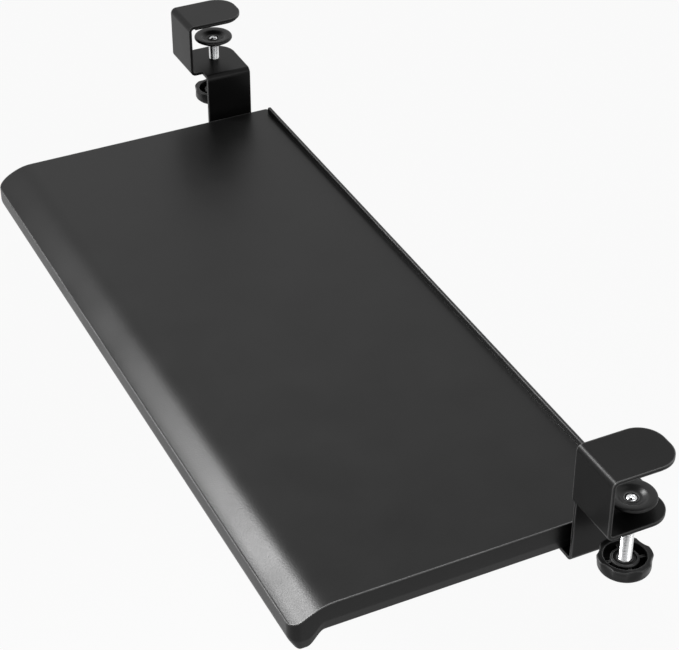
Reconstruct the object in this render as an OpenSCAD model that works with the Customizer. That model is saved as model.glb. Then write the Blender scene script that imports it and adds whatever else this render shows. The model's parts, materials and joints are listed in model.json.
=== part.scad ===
// Clamp-on slide-out keyboard tray, in millimetres.
// Origin: middle of the tray's top surface. +X to the user's right, +Y towards the desk, +Z up.
// The tray is drawn pulled out, and it slides along +Y under the desk.

/* [Tray] */
// Overall width of the tray
tray_w = 680; // [600:1:760]
// Overall depth of the tray, front edge to rear edge
tray_d = 288; // [272:1:340]
// Height of the skirt below the top surface
tray_h = 25; // [22:0.5:30]
// Thickness of the deck
deck_t = 3.5; // [3:0.5:5]
// Thickness of the skirts
skirt_t = 3; // [2.5:0.5:4]
// Radius of the rear corners seen from above
corner_r = 4; // [3.5:0.5:9]
// Radius of the left front corner seen from above
front_left_r = 14; // [7:0.5:18]
// Radius of the right front corner seen from above
front_right_r = 9; // [7:0.5:18]
// Depth of the wrist slope along the front edge
nose_d = 30; // [24:1:38]
// How far the wrist slope falls
nose_drop = 12; // [6:0.5:14]
// Width of the flat strip between the wrist slope and the front edge
nose_flat = 3; // [2:0.5:6]
// Radius of the rounded lower front edge
nose_r = 13.5; // [10:0.5:16]
// Length of the rise behind the lower front edge
nose_rise = 14; // [9:0.5:18]
// Height of the lip along the rear edge
lip_h = 5; // [2:0.5:8]
// Thickness of the lip
lip_t = 3; // [2:0.5:4]
// Length of the ramp at each end of the lip
lip_ramp = 3; // [2:0.5:12]
// Thickness of the ribs under the deck
rib_t = 2; // [1.5:0.25:3]
// Spacing of the ribs along the width
rib_pitch_x = 72; // [60:1:80]
// Spacing of the ribs along the depth
rib_pitch_y = 58; // [50:1:66]
// Diameter of the screw bosses under the deck
boss_d = 10; // [8:0.5:12]

/* [Slide] */
// Distance from the tray's end to the middle of the rail
rail_inset = 24; // [23:0.5:30]
// Distance from the tray's rear edge to the rear end of the rail
rail_back = 6; // [5:0.5:8]
// Width of the runner over its side walls
runner_w = 26.4; // [24:0.2:28]
// Height of the runner
runner_h = 9; // [8:0.25:10]
// Length of the runner
runner_l = 50; // [44:1:56]
// Wall of the rail and of the runner beside the balls
track_wall = 2; // [1.75:0.25:2.5]
// Sheet of the rail's and the runner's floor
floor_t = 1.5; // [1:0.25:2]
// Diameter of the balls
ball_d = 4; // [3:0.25:4.5]
// Balls in each row
ball_count = 8; // [5:1:8]
// Spacing of the balls in a row
ball_pitch = 17; // [12:0.5:17]
// Thickness of the ball cage
cage_t = 1; // [0.6:0.1:1.2]
// Length of the bumpers at the ends of the rail
stop_l = 6; // [4:0.5:8]
// Diameter of the rail screws
rail_screw_d = 4; // [3:0.25:5]
// Diameter of the rivets through runner and flange
rivet_d = 5; // [4:0.25:6]
// Distance between the two rivets of a runner
rivet_pitch = 28; // [24:1:32]

/* [Clamp bracket] */
// Thickness of the bracket's sheet
sheet_t = 3; // [2:0.25:4]
// Inner radius of the bends
bend_r = 2.5; // [1.5:0.25:4]
// Width of the tongue and of the web
web_w = 48; // [42:1:56]
// Clear height between lower jaw and tongue
throat = 48; // [46:0.5:60]
// Length of the tongue from the web's front face
tongue_l = 61; // [56:1:76]
// Length of the lower jaw from the web's front face
jaw_l = 58.5; // [56:0.5:70]
// Radius of the rounded ends of tongue and jaw
tip_r = 20; // [12:1:20]
// Height of the jaw's underside above the tray's top surface
jaw_rise = 42.5; // [38:0.5:60]
// Distance from the tray's rear edge forward to the web's front face
web_setback = 73; // [70:1:76]
// Distance from the web's front face back to the hanging plate
plate_setback = 12; // [10:0.5:14]
// Width of the hanging plate and of the flange under the tray
plate_w = 46; // [42:1:48]
// Gap between the tray's end and the hanging plate
side_gap = 8; // [4:0.5:12]
// Step from the hanging plate's outer face out to the web
web_step = 11; // [8:0.5:20]
// Gap between the tray's skirt and the flange below it
flange_gap = 1.5; // [1:0.25:4]
// Thickness of the protective pad under the tongue
jaw_pad_t = 2.5; // [1.5:0.25:4]

/* [Clamp screw] */
// Diameter of the clamp screw
screw_d = 10; // [8:0.5:12]
// Length of the clamp screw
screw_l = 61; // [58:0.5:80]
// Distance from the web's front face back to the screw
screw_setback = 35; // [32:0.5:38]
// Height of the weld nut
nut_h = 8; // [6:0.5:10]
// Diameter of the swivel pad
pad_d = 38; // [30:0.5:40]
// Height of the swivel pad
pad_h = 7.5; // [6.5:0.25:10]
// Diameter of the pad screw
pad_screw_d = 5; // [4:0.25:6]
// Gap between the left swivel pad and the pad under the tongue
left_open = 21; // [1:0.5:36]
// Gap between the right swivel pad and the pad under the tongue
right_open = 35; // [1:0.5:36]

/* [Knob] */
// Diameter of the knob over its lobes
knob_d = 42.5; // [38:0.5:48]
// Height of the knob
knob_h = 11; // [10:0.5:18]
// Thickness of the knob's rim at a lobe
rim_t = 5; // [3.5:0.1:5.5]
// Depth of the finger scallops
scallop = 1.8; // [1:0.1:2]
// Number of finger scallops
scallop_count = 6; // [5:1:8]
// Width of the spokes
spoke_w = 2.5; // [2:0.25:4]
// Thickness of the closed floor between the hub and the rim
knob_floor_t = 2; // [1.5:0.25:3]

/* [Hidden] */
$fn = 64;

// Colours
plastic = "#2f2f30";
coated = "#262627";
zinc = "#b9bcc0";
rubber = "#161616";

// Clearances
cut = 1;                  // overrun of a cutting shape
hole_play = 0.3;          // radial room of a screw or rivet in a plain hole
turn_play = 0.05;         // radial room of a turning shaft in its bore
axial_play = 0.2;         // end play of the swivel pad on its screw
ball_play = 0.25;         // room between a ball and its groove
pocket_play = 0.15;       // room between a ball and its pocket in the cage
stop_play = 0.5;          // room between a runner and its bumper at the end of the travel
cage_play = 0.3;          // room between the runner and the cage's web
head_play = 0.8;          // room between the cage's web and the rail screws' heads
lip_play = 0.5;           // room between the cage and the rail's lips

// Tray
x_end = tray_w / 2;
y_rear = tray_d / 2;
y_front = -tray_d / 2;
y_crease = y_front + nose_d;
z_skirt = -tray_h;
z_nose = z_skirt - nose_drop;
curve_steps = 12;
boss_roof = 1;
rib_bite = 1;

// Clamp bracket
bend_out = bend_r + sheet_t;
x_plate = x_end + side_gap;
x_plate_out = x_plate + sheet_t;
x_web = x_plate_out + web_step;
x_web_out = x_web + web_w;
x_screw = x_web + web_w / 2;
y_web = y_rear - web_setback;
y_plate = y_web + plate_setback;
y_plate_mid = y_plate + plate_w / 2;
y_plate_end = y_plate + plate_w;
y_screw = y_web + screw_setback;
z_jaw = jaw_rise + sheet_t;
z_tongue = z_jaw + throat;
z_tongue_top = z_tongue + sheet_t;
z_flange = z_skirt - flange_gap;
z_flange_low = z_flange - sheet_t;
flange_over = 3;
jaw_pad_inset = 2;

// Slide
x_rail = x_end - rail_inset;
rail_front_gap = 2;
groove_r = ball_d / 2 + ball_play;
groove_bite = 0.75;
groove_margin = 0.75;
x_ball = runner_w / 2 - groove_bite + groove_r;
rail_in = x_ball + groove_r - groove_bite;
rail_out = rail_in + track_wall;
rail_screw_head_h = 1.6;
rail_screw_head_d = 2 * rail_screw_d;
rail_lift = 1.2;
rail_lip_t = 1.2;
rail_lip_w = 1.2;
z_runner_top = z_flange + runner_h;
z_ball = z_runner_top - groove_margin - groove_r;
z_cage_web = z_runner_top + cage_play;
z_cage_top = z_cage_web + cage_t;
z_rail_web = z_cage_top + head_play + rail_screw_head_h;
z_rail_top = z_rail_web + floor_t;
z_rail_low = z_flange + rail_lift;
z_cage_low = z_rail_low + rail_lip_t + lip_play;
y_rail_rear = y_rear - rail_back;
y_rail_front = y_crease + rail_front_gap;
rail_l = y_rail_rear - y_rail_front;
stop_margin = 0.5;
y_runner_rear = y_rail_rear - stop_margin - stop_l - stop_play;
y_runner = y_runner_rear - runner_l;
cage_end = 10.5;
cage_rest_gap = 1;
cage_l = (ball_count - 1) * ball_pitch + 2 * cage_end;
y_cage = y_runner_rear - cage_rest_gap - cage_l;
stop_stem_d = 5;
stop_lap = 1;
stop_w = runner_w - 2 * (track_wall - stop_lap);
rail_hole_end = 17;
rail_hole_y = [y_rail_front + rail_hole_end, (y_rail_front + y_rail_rear) / 2, y_rail_rear - rail_hole_end];
stop_y = [y_rail_front + stop_margin, y_rail_rear - stop_margin - stop_l];
rivet_y = [y_plate_mid - rivet_pitch / 2, y_plate_mid + rivet_pitch / 2];
rivet_head_d = 1.8 * rivet_d;
rivet_head_h = 1.4;

// Clamp screw, heights counted down from the top of a swivel pad
z_pad_closed = z_tongue - jaw_pad_t;
z_left = z_pad_closed - left_open;
z_right = z_pad_closed - right_open;
pad_floor = 3;
pad_rim_w = 3;
pad_rim_h = 3.2;
pad_edge = 0.7;
pad_hub_wall = 4;
pad_hub_r = screw_d / 2 + pad_hub_wall;
pad_screw_head_d = 1.7 * pad_screw_d;
pad_screw_head_h = 2.4;
pad_screw_grip = 12;
pad_screw_room = 1;
pad_head_room = 1.2;
recess_w = 1.2;
recess_d = 1.3;
recess_l = 0.6 * pad_screw_head_d;
screw_drop = pad_h + axial_play;
screw_end = screw_drop + screw_l;
knob_foot = 0.5;
knob_turn = 77;
knob_low = screw_end + knob_foot;
knob_hub_wall = 6;
knob_hub_r = screw_d / 2 + knob_hub_wall;
knob_nut_h = 5;
knob_nut_sink = 1;
scallop_r = 20;
spoke_count = 4;
hub_sink = 2;
spoke_sink = 4;
spoke_bite = 1;
weld_nut_af = 1.7 * screw_d;
knob_nut_af = 1.6 * screw_d;

// Smooth step from 0 to 1
function smooth(t) = t * t * (3 - 2 * t);

// Wrist slope from the crease down to its foot, as [y, z] points
function slope_points(y0, y1, z0, drop) =
    [for (i = [0:curve_steps]) let (t = i / curve_steps) [y0 + (y1 - y0) * t, z0 - drop * smooth(t)]];

// Quarter arc about [y, z] from the front face round to the underside
function nose_arc(y, z, r) =
    [for (i = [0:curve_steps]) let (a = 180 + 90 * i / curve_steps) [y + r * cos(a), z + r * sin(a)]];

// Rise from the lowest line of the nose back up to the skirt's lower edge
function rise_points() =
    [for (i = [1:curve_steps]) let (t = i / curve_steps)
        [y_front + nose_r + nose_rise * t, z_nose + nose_drop * smooth(t)]];

// Extrudes a [y, z] outline along X, centred on x = 0
module along_x(width) {
    rotate([90, 0, 90])
        translate([0, 0, -width / 2])
            linear_extrude(width) children();
}

// Rectangle with the two corners at high y rounded
module tip_outline(x0, x1, y0, y1, r) {
    translate([x0, y0]) square([x1 - x0, y1 - r - y0]);
    translate([x0 + r, y0]) square([x1 - x0 - 2 * r, y1 - y0]);
    for (x = [x0 + r, x1 - r])
        translate([x, y1 - r]) circle(r);
}

// Rectangle about the origin with all corners rounded
module rounded_outline(w, d, r) {
    square([w - 2 * r, d], center = true);
    square([w, d - 2 * r], center = true);
    for (x = [-1, 1], y = [-1, 1])
        translate([x * (w / 2 - r), y * (d / 2 - r)]) circle(r);
}

// Quarter bend of the sheet about the Z axis, from +X round to +Y
module quarter_bend(length) {
    rotate_extrude(angle = 90)
        translate([bend_r, 0]) square([sheet_t, length]);
}

// Upright cylinder between two heights
module post(d, z0, z1) {
    translate([0, 0, z0]) cylinder(d = d, h = z1 - z0);
}

// Hexagon between two heights, across its flats
module hexagon(across, z0, z1) {
    translate([0, 0, z0]) cylinder(d = across / cos(30), h = z1 - z0, $fn = 6);
}

// Copies at the foot of the right-hand clamp screw's axis
module at_screw() {
    translate([x_screw, y_screw, 0]) children();
}

// The same piece at the left end of the tray
module left() {
    mirror([1, 0, 0]) children();
}

// Tray
module tray_outline() {
    polygon(concat(
        [[y_rear, z_skirt], [y_rear, 0]],
        slope_points(y_crease, y_front + nose_flat, 0, nose_drop),
        [[y_front, -nose_drop]],
        nose_arc(y_front + nose_r, z_nose + nose_r, nose_r),
        rise_points()
    ));
}

module tray_hollow_outline() {
    y_in = y_front + skirt_t;
    polygon(concat(
        [[y_rear - skirt_t, z_nose - cut], [y_rear - skirt_t, -deck_t]],
        slope_points(y_crease, y_in, -deck_t, nose_drop),
        nose_arc(y_front + nose_r, z_nose + nose_r, nose_r - skirt_t),
        [[y_front + nose_r, z_nose - cut]]
    ));
}

// Upright block of the tray's outline from above, drawn in from its edges by an inset
module tray_block(inset) {
    w = tray_w - 2 * inset;
    d = tray_d - 2 * inset;
    translate([0, 0, z_nose - 2 * cut])
        linear_extrude(-z_nose + 4 * cut)
            intersection() {
                rounded_outline(w, d, corner_r);
                rotate(180) tip_outline(-w, w / 2, -d / 2, d / 2, front_left_r - inset);
                rotate(180) tip_outline(-w / 2, w, -d / 2, d / 2, front_right_r - inset);
            }
}

module tray_shell() {
    difference() {
        intersection() {
            along_x(tray_w) tray_outline();
            tray_block(0);
        }
        intersection() {
            along_x(tray_w - 2 * skirt_t) tray_hollow_outline();
            tray_block(skirt_t);
        }
    }
}

module tray_ribs() {
    rib_h = -deck_t + rib_bite - z_rail_top;
    inner_w = tray_w - 2 * (skirt_t - rib_bite);
    inner_d = y_rear - skirt_t - y_crease;
    across = floor((x_rail - rail_out - rib_t) / rib_pitch_x);
    back = floor(inner_d / rib_pitch_y);
    for (i = [-across:across])
        translate([i * rib_pitch_x - rib_t / 2, y_crease, z_rail_top])
            cube([rib_t, inner_d + rib_bite, rib_h]);
    for (i = [0:back])
        translate([-inner_w / 2, y_crease + i * rib_pitch_y, z_rail_top])
            cube([inner_w, rib_t, rib_h]);
}

module rail_bosses() {
    for (side = [-1, 1], y = rail_hole_y)
        translate([side * x_rail, y, 0]) post(boss_d, z_rail_top, -deck_t + rib_bite);
}

module boss_holes() {
    for (side = [-1, 1], y = rail_hole_y)
        translate([side * x_rail, y, 0])
            post(rail_screw_d + 2 * turn_play, z_rail_top - cut, -deck_t);
    for (side = [-1, 1], y = stop_y)
        translate([side * x_rail, y + stop_l / 2, 0])
            post(stop_stem_d + 2 * hole_play, z_rail_top - cut, z_rail_top + floor_t);
}

module rear_lip() {
    lip_end = x_end - corner_r;
    translate([0, y_rear, 0])
        rotate([90, 0, 0])
            linear_extrude(lip_t)
                polygon([
                    [-lip_end, -deck_t], [lip_end, -deck_t], [lip_end, 0],
                    [lip_end - lip_ramp, lip_h], [-lip_end + lip_ramp, lip_h], [-lip_end, 0]
                ]);
}

module tray() {
    color(plastic)
        difference() {
            union() {
                tray_shell();
                tray_ribs();
                rail_bosses();
                rear_lip();
            }
            boss_holes();
        }
}

// Slide: the rail is screwed under the tray, the runner is riveted to the bracket's flange
module rail_grooves(y0, length) {
    for (side = [-1, 1])
        translate([x_rail + side * x_ball, y0 - cut, z_ball])
            rotate([-90, 0, 0]) cylinder(r = groove_r, h = length + 2 * cut);
}

module rail() {
    color(zinc)
        difference() {
            translate([x_rail - rail_out, y_rail_front, z_rail_low])
                cube([2 * rail_out, rail_l, z_rail_top - z_rail_low]);
            translate([x_rail - rail_in, y_rail_front - cut, z_rail_low + rail_lip_t])
                cube([2 * rail_in, rail_l + 2 * cut, z_rail_web - z_rail_low - rail_lip_t]);
            translate([x_rail - rail_in + rail_lip_w, y_rail_front - cut, z_rail_low - cut])
                cube([2 * (rail_in - rail_lip_w), rail_l + 2 * cut, rail_lip_t + 2 * cut]);
            rail_grooves(y_rail_front, rail_l);
            for (y = rail_hole_y)
                translate([x_rail, y, 0])
                    post(rail_screw_d + 2 * hole_play, z_rail_web - cut, z_rail_top + cut);
            for (y = stop_y)
                translate([x_rail, y + stop_l / 2, 0])
                    post(stop_stem_d + 2 * turn_play, z_rail_web - cut, z_rail_top + cut);
        }
}

module rail_screws() {
    tip = -deck_t - boss_roof;
    color(zinc)
        for (y = rail_hole_y)
            translate([x_rail, y, 0]) {
                post(rail_screw_head_d, z_rail_web - rail_screw_head_h, z_rail_web);
                post(rail_screw_d, z_rail_web - rail_screw_head_h / 2, tip);
            }
}

module rail_stops() {
    color(rubber)
        for (y = stop_y)
            translate([x_rail, y, 0]) {
                translate([-stop_w / 2, 0, z_cage_low])
                    cube([stop_w, stop_l, z_rail_web - z_cage_low]);
                translate([0, stop_l / 2, 0])
                    post(stop_stem_d, z_rail_web - cut, z_rail_top + floor_t / 2);
            }
}

module ball_places() {
    for (side = [-1, 1], i = [0:ball_count - 1])
        translate([x_rail + side * x_ball, y_cage + cage_end + i * ball_pitch, z_ball]) children();
}

module ball_cage() {
    pocket_d = ball_d + 2 * pocket_play;
    color(zinc)
        difference() {
            translate([x_rail - x_ball - cage_t / 2, y_cage, z_cage_low])
                cube([2 * x_ball + cage_t, cage_l, z_cage_top - z_cage_low]);
            translate([x_rail - x_ball + cage_t / 2, y_cage - cut, z_cage_low - cut])
                cube([2 * x_ball - cage_t, cage_l + 2 * cut, z_cage_web - z_cage_low + cut]);
            ball_places()
                rotate([0, 90, 0]) cylinder(d = pocket_d, h = 3 * cage_t, center = true);
        }
}

module balls() {
    color(zinc)
        ball_places() sphere(d = ball_d);
}

module runner() {
    inner_w = runner_w - 2 * track_wall;
    color(zinc)
        difference() {
            translate([x_rail - runner_w / 2, y_runner, z_flange]) cube([runner_w, runner_l, runner_h]);
            translate([x_rail - inner_w / 2, y_runner - cut, z_flange + floor_t])
                cube([inner_w, runner_l + 2 * cut, runner_h]);
            rail_grooves(y_runner, runner_l);
            rivet_holes();
        }
}

module rivet_holes() {
    for (y = rivet_y)
        translate([x_rail, y, 0])
            post(rivet_d + 2 * turn_play, z_flange_low - cut, z_flange + floor_t + cut);
}

module runner_rivets() {
    color(zinc)
        for (y = rivet_y)
            translate([x_rail, y, 0]) {
                post(rivet_head_d, z_flange_low - rivet_head_h, z_flange_low);
                post(rivet_d, z_flange_low - rivet_head_h / 2, z_flange + floor_t + rivet_head_h / 2);
                post(rivet_head_d, z_flange + floor_t, z_flange + floor_t + rivet_head_h);
            }
}

// Clamp bracket: tongue, web and lower jaw make the C, the plate hangs from the jaw's inner edge
module bracket_c() {
    y_flat = y_web + bend_out;
    translate([0, 0, z_tongue])
        linear_extrude(sheet_t) tip_outline(x_web, x_web_out, y_flat, y_web + tongue_l, tip_r);
    translate([x_web, y_flat, z_tongue_top - bend_out])
        rotate([90, 0, 90]) rotate([0, 0, 90]) quarter_bend(web_w);
    translate([x_web, y_web, jaw_rise + bend_out])
        cube([web_w, sheet_t, z_tongue_top - jaw_rise - 2 * bend_out]);
    translate([x_web, y_flat, jaw_rise + bend_out])
        rotate([90, 0, 90]) rotate([0, 0, 180]) quarter_bend(web_w);
    translate([0, 0, jaw_rise])
        linear_extrude(sheet_t) jaw_outline(y_flat);
}

module jaw_outline(y_flat) {
    y_tip = y_web + jaw_l;
    x_flat = x_plate + bend_out;
    translate([x_web, y_flat]) square([web_w, y_tip - tip_r - y_flat]);
    translate([x_web, y_flat]) square([web_w - tip_r, y_tip - y_flat]);
    translate([x_web_out - tip_r, y_tip - tip_r]) circle(tip_r);
    translate([x_flat, y_plate]) square([x_web_out - tip_r - x_flat, y_plate_end - y_plate]);
}

module bracket_hanger() {
    translate([x_plate + bend_out, y_plate_end, z_jaw - bend_out])
        rotate([90, 0, 0]) rotate([0, 0, 90]) quarter_bend(plate_w);
    translate([x_plate, y_plate, z_flange_low + bend_out])
        cube([sheet_t, plate_w, z_jaw - z_flange_low - 2 * bend_out]);
    translate([x_plate_out - bend_out, y_plate_end, z_flange_low + bend_out])
        rotate([90, 0, 0]) rotate([0, 0, -90]) quarter_bend(plate_w);
    x_flange = x_rail - runner_w / 2 - flange_over;
    translate([x_flange, y_plate, z_flange_low])
        cube([x_plate_out - bend_out - x_flange, plate_w, sheet_t]);
}

module clamp_bracket() {
    color(coated)
        difference() {
            union() {
                bracket_c();
                bracket_hanger();
            }
            at_screw() post(screw_d + 2 * hole_play, jaw_rise - cut, z_jaw + cut);
            rivet_holes();
        }
}

module jaw_pad() {
    i = jaw_pad_inset;
    color(rubber)
        translate([0, 0, z_tongue - jaw_pad_t])
            linear_extrude(jaw_pad_t)
                tip_outline(x_web + i, x_web_out - i, y_web + bend_out + i, y_web + tongue_l - i, tip_r - i);
}

module weld_nut() {
    color(coated)
        at_screw()
            difference() {
                hexagon(weld_nut_af, jaw_rise - nut_h, jaw_rise);
                post(screw_d + 2 * turn_play, jaw_rise - nut_h - cut, jaw_rise + cut);
            }
}

// Clamp screw and what turns with it, for a swivel pad whose top is at z_pad
module clamp_screw(z_pad) {
    color(zinc)
        at_screw()
            difference() {
                post(screw_d, z_pad - screw_end, z_pad - screw_drop);
                post(pad_screw_d + 2 * turn_play, z_pad - screw_drop - pad_screw_grip, z_pad);
            }
}

module swivel_pad(z_pad) {
    r = pad_d / 2;
    floor_z = pad_floor - pad_h;
    floor_r = pad_screw_head_d / 2 + pad_head_room;
    color(rubber)
        at_screw()
            translate([0, 0, z_pad])
                rotate_extrude()
                    polygon([
                        [pad_screw_d / 2 + turn_play, -pad_h], [pad_hub_r, -pad_h],
                        [r, -pad_rim_h], [r, -pad_edge], [r - pad_edge, 0], [r - pad_rim_w, 0],
                        [r - pad_rim_w - pad_edge, -pad_edge], [floor_r, floor_z],
                        [pad_screw_d / 2 + turn_play, floor_z]
                    ]);
}

module pad_screw(z_pad) {
    z_seat = z_pad - pad_h + pad_floor + axial_play;
    color(zinc)
        at_screw()
            difference() {
                union() {
                    post(pad_screw_head_d, z_seat, z_seat + pad_screw_head_h);
                    post(pad_screw_d, z_pad - screw_drop - pad_screw_grip + pad_screw_room, z_seat + cut);
                }
                for (a = [0, 90])
                    rotate([0, 0, a])
                        translate([-recess_l / 2, -recess_w / 2, z_seat + pad_screw_head_h - recess_d])
                            cube([recess_l, recess_w, recess_d + cut]);
            }
}

module knob_outline() {
    difference() {
        circle(d = knob_d);
        for (i = [0:scallop_count - 1])
            rotate(360 * (i + 0.5) / scallop_count)
                translate([knob_d / 2 + scallop_r - scallop, 0]) circle(scallop_r);
    }
}

module knob_rim_outline() {
    difference() {
        knob_outline();
        circle(d = knob_d - 2 * rim_t);
    }
}

module knob(z_pad) {
    z_low = z_pad - knob_low;
    z_nut = z_low + knob_nut_sink + knob_nut_h;
    spoke_l = knob_d / 2 - rim_t - knob_hub_r + 2 * spoke_bite;
    color(plastic)
        at_screw()
            rotate([0, 0, knob_turn])
                difference() {
                    union() {
                        translate([0, 0, z_low]) linear_extrude(knob_floor_t) knob_outline();
                        translate([0, 0, z_low]) linear_extrude(knob_h) knob_rim_outline();
                        post(2 * knob_hub_r, z_low, z_low + knob_h - hub_sink);
                        for (i = [0:spoke_count - 1])
                            rotate([0, 0, 360 * i / spoke_count])
                                translate([knob_hub_r - spoke_bite, -spoke_w / 2, z_low])
                                    cube([spoke_l, spoke_w, knob_h - spoke_sink]);
                    }
                    post(screw_d + 2 * turn_play, z_low - cut, z_low + knob_h + cut);
                    hexagon(knob_nut_af + 2 * hole_play, z_low - cut, z_nut);
                }
}

module knob_nut(z_pad) {
    z_low = z_pad - knob_low + knob_nut_sink;
    color(zinc)
        at_screw()
            rotate([0, 0, knob_turn])
                difference() {
                    hexagon(knob_nut_af, z_low, z_low + knob_nut_h);
                    post(screw_d + 2 * turn_play, z_low - cut, z_low + knob_nut_h + cut);
                }
}

tray();
left() rail();  // left_rail
rail();  // right_rail
left() rail_screws();  // left_rail_screws
rail_screws();  // right_rail_screws
left() rail_stops();  // left_rail_stops
rail_stops();  // right_rail_stops
left() ball_cage();  // left_ball_cage
ball_cage();  // right_ball_cage
left() balls();  // left_balls
balls();  // right_balls
left() runner();  // left_runner
runner();  // right_runner
left() runner_rivets();  // left_runner_rivets
runner_rivets();  // right_runner_rivets
left() clamp_bracket();  // left_clamp_bracket
clamp_bracket();  // right_clamp_bracket
left() jaw_pad();  // left_jaw_pad
jaw_pad();  // right_jaw_pad
left() weld_nut();  // left_weld_nut
weld_nut();  // right_weld_nut
left() clamp_screw(z_left);  // left_clamp_screw
clamp_screw(z_right);  // right_clamp_screw
left() swivel_pad(z_left);  // left_swivel_pad
swivel_pad(z_right);  // right_swivel_pad
left() pad_screw(z_left);  // left_pad_screw
pad_screw(z_right);  // right_pad_screw
left() knob(z_left);  // left_knob
knob(z_right);  // right_knob
left() knob_nut(z_left);  // left_knob_nut
knob_nut(z_right);  // right_knob_nut
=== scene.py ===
"""Looks of a clamp-on slide-out keyboard tray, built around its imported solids. Lengths are in metres."""

import json
import math

import bmesh
import bpy
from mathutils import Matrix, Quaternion, Vector


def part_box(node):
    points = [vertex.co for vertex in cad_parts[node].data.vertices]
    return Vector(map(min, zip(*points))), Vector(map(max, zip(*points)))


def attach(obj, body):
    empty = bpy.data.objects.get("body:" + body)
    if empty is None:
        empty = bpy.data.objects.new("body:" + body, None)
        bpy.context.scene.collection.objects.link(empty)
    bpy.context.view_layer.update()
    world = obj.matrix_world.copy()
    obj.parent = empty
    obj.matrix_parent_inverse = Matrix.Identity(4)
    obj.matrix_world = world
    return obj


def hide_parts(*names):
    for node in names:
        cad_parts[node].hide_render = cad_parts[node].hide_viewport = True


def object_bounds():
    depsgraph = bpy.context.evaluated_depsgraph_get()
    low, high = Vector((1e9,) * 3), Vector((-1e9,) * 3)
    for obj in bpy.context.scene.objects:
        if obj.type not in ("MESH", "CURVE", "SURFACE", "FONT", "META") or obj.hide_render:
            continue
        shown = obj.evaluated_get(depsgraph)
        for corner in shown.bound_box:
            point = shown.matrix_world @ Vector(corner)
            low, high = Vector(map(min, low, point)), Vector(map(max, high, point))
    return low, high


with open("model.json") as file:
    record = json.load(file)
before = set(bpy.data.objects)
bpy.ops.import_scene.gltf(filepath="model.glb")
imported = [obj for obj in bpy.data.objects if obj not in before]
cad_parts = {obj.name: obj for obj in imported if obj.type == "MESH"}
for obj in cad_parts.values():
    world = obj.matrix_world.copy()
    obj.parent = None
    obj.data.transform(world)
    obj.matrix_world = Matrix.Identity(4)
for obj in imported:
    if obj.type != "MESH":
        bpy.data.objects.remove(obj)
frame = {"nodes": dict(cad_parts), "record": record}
cad_low, cad_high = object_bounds()

MM = 0.001
SIDES = {"left": -1, "right": 1}

# Tray
TRAY_LOW, TRAY_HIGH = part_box("tray")
X_END = TRAY_HIGH.x
Y_FRONT = TRAY_LOW.y
Y_REAR = TRAY_HIGH.y
Z_NOSE = TRAY_LOW.z
LIP_H = TRAY_HIGH.z
DECK_T = 3.5 * MM
SKIRT_T = 3 * MM
FRONT_R = {-1: 14 * MM, 1: 9 * MM}
CORNER_R = 4 * MM
NOSE_D = 30 * MM
NOSE_DROP = 12 * MM
SLOPE_D = 39 * MM
SLOPE_RUN = 38 * MM
SLOPE_START = 0.7
SLOPE_FOOT = 0.3
SLOPE_EASE = 0.3
NOSE_R = 13.5 * MM
NOSE_RISE = 14 * MM
LIP_T = 3 * MM
LIP_RAMP = 3 * MM
Y_CREASE = Y_FRONT + NOSE_D
Y_SLOPE = Y_FRONT + SLOPE_D
Z_SKIRT = Z_NOSE + NOSE_DROP
NOSE_Y = Y_FRONT + NOSE_R

# Rounding of the tray's edges and the drafted band along the foot of its ends
EDGE_R = 0.25 * MM
LIP_EDGE_R = 0.4 * MM
LIP_FOOT_R = 0.08 * MM
RIM_W = LIP_T + LIP_FOOT_R
FOOT_R = 1.5 * MM
SKIRT_FOOT_TURN = (200, 270)
BAND_H = 10 * MM
BAND_REACH = 1.3 * MM
END_T = 4.6 * MM

# Rows of the tray's mesh
BAND_STEPS = 10
INSIDE_STEPS = 8
CORNER_STEPS = 14
SLOPE_STEPS = 16
LIP_STEPS = 4
LIP_ROWS = LIP_STEPS + 2
EDGE_STEPS = 3
LIP_EDGE_STEPS = 2
RIM_FLAT_ROWS = 3 * (LIP_EDGE_STEPS + 1) - (EDGE_STEPS + 1)
FRONT_SHARES = (0, 0.9, 1)
FRONT_ROWS = len(FRONT_SHARES)

# Ribs and bosses under the deck
RAIL_LOW, RAIL_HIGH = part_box("right_rail")
Z_RIB = RAIL_HIGH.z
RIB_T = 2 * MM
RIB_PITCH_X = 72 * MM
RIB_PITCH_Y = 58 * MM
RIB_SINK = 0.5 * MM
Z_RIB_TOP = -DECK_T + RIB_SINK
RIB_BITE = SKIRT_T / 3
RIB_EDGE = 0.3 * MM
RIB_EDGE_STEPS = 2
CELL_R = 2 * MM
CELL_STEPS = 3
BOSS_R = 5 * MM
BOSS_STEPS = 32
X_INSIDE = X_END - END_T

# Clamp brackets
BRACKET_LOW, BRACKET_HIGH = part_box("right_clamp_bracket")
SHEET_T = 3 * MM
BEND_R = 2.5 * MM
BEND_MID_R = BEND_R + SHEET_T / 2
BEND_OUT = BEND_R + SHEET_T
WEB_W = 48 * MM
TIP_R = 20 * MM
JAW_L = 58.5 * MM
JAW_RISE = 42.5 * MM
PLATE_SETBACK = 12 * MM
PLATE_W = 46 * MM
WEB_STEP = 11 * MM
SCREW_SETBACK = 35 * MM
SCREW_HOLE_D = 10.6 * MM
RIVET_HOLE_D = 5.1 * MM
X_WEB_OUT = BRACKET_HIGH.x
X_WEB = X_WEB_OUT - WEB_W
X_PLATE_OUT = X_WEB - WEB_STEP
X_BEND = X_PLATE_OUT - SHEET_T + BEND_OUT
X_FOLD = X_PLATE_OUT - BEND_OUT
X_FLANGE = BRACKET_LOW.x
Y_WEB = BRACKET_LOW.y
Y_FLAT = Y_WEB + BEND_OUT
Y_PLATE = Y_WEB + PLATE_SETBACK
Y_PLATE_END = Y_PLATE + PLATE_W
Y_TONGUE = BRACKET_HIGH.y
Z_TONGUE_TOP = BRACKET_HIGH.z
Z_FLANGE = BRACKET_LOW.z
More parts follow.
